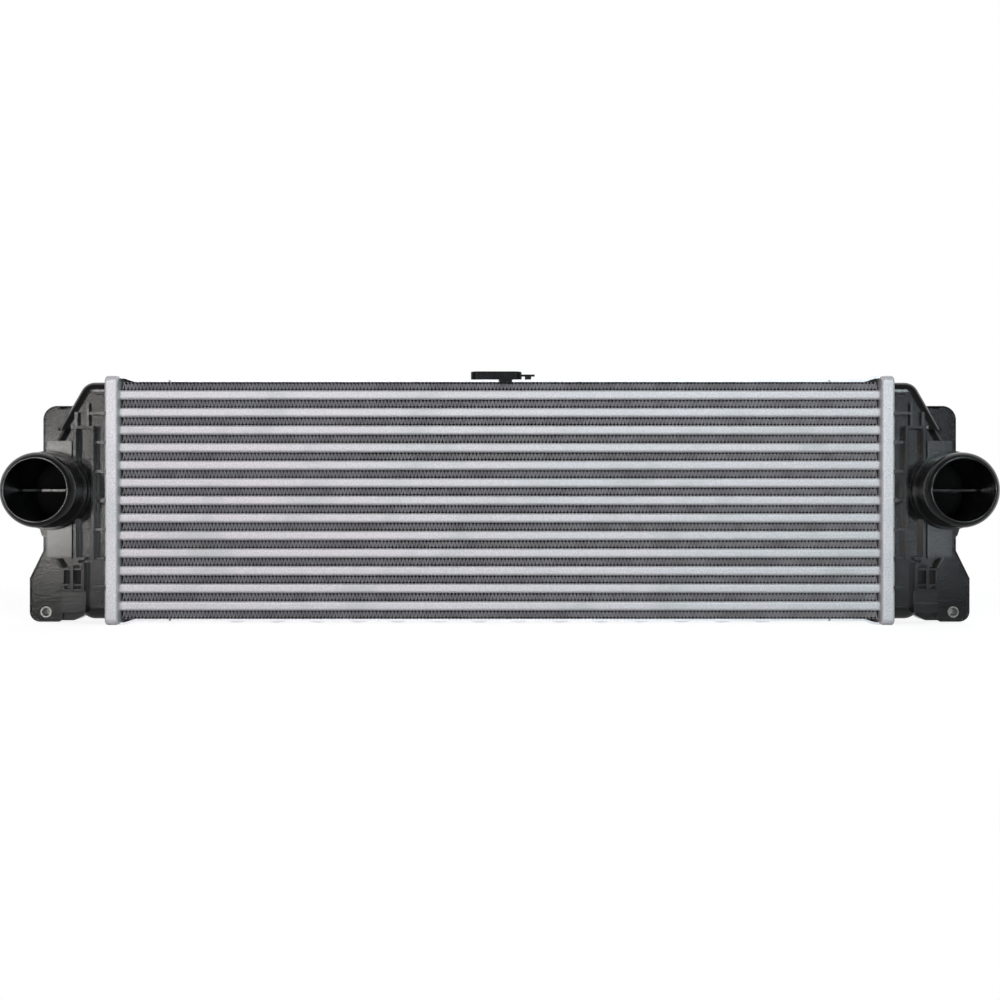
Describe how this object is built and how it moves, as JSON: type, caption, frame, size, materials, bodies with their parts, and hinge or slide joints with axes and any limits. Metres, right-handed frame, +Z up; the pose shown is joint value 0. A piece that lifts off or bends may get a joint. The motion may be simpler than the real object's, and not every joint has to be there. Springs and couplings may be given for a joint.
{
  "type": "intercooler",
  "caption": "Front-mounted charge-air cooler: flat tubes and folded fins between two moulded end tanks, each with a round forward port and a lower bolt flange.",
  "frame": {"origin": "bottom centre of the bounding box, on the plane that the header plates' ends stand on", "axes": "+X to the right along the tubes, +Y to the back with the ports facing -Y, +Z up"},
  "size_m": [0.8272, 0.1216, 0.2162],
  "materials": {
    "tube": "satin, brazed",
    "turbulator": "satin, brazed",
    "fin": "satin, brazed",
    "side_plate": "satin, brazed",
    "header": "satin, brazed",
    "gasket": "matte",
    "tank": "moulded, fine grain",
    "sleeve": "zinc plated",
    "holder": "moulded"
  },
  "bodies": {
    "root": {"tube_01": "tube", "tube_02": "tube", "tube_03": "tube", "tube_04": "tube", "tube_05": "tube", "tube_06": "tube", "tube_07": "tube", "tube_08": "tube", "tube_09": "tube", "tube_10": "tube", "tube_11": "tube", "tube_12": "tube", "tube_13": "tube", "turbulator_01": "turbulator", "turbulator_02": "turbulator", "turbulator_03": "turbulator", "turbulator_04": "turbulator", "turbulator_05": "turbulator", "turbulator_06": "turbulator", "turbulator_07": "turbulator", "turbulator_08": "turbulator", "turbulator_09": "turbulator", "turbulator_10": "turbulator", "turbulator_11": "turbulator", "turbulator_12": "turbulator", "turbulator_13": "turbulator", "fin_01": "fin", "fin_02": "fin", "fin_03": "fin", "fin_04": "fin", "fin_05": "fin", "fin_06": "fin", "fin_07": "fin", "fin_08": "fin", "fin_09": "fin", "fin_10": "fin", "fin_11": "fin", "fin_12": "fin", "fin_13": "fin", "fin_14": "fin", "top_side_plate": "side_plate", "bottom_side_plate": "side_plate", "left_header": "header", "right_header": "header", "left_gasket": "gasket", "right_gasket": "gasket", "left_tank": "tank", "right_tank": "tank", "left_sleeve": "sleeve", "right_sleeve": "sleeve", "holder": "holder"}
  },
  "joints": []
}
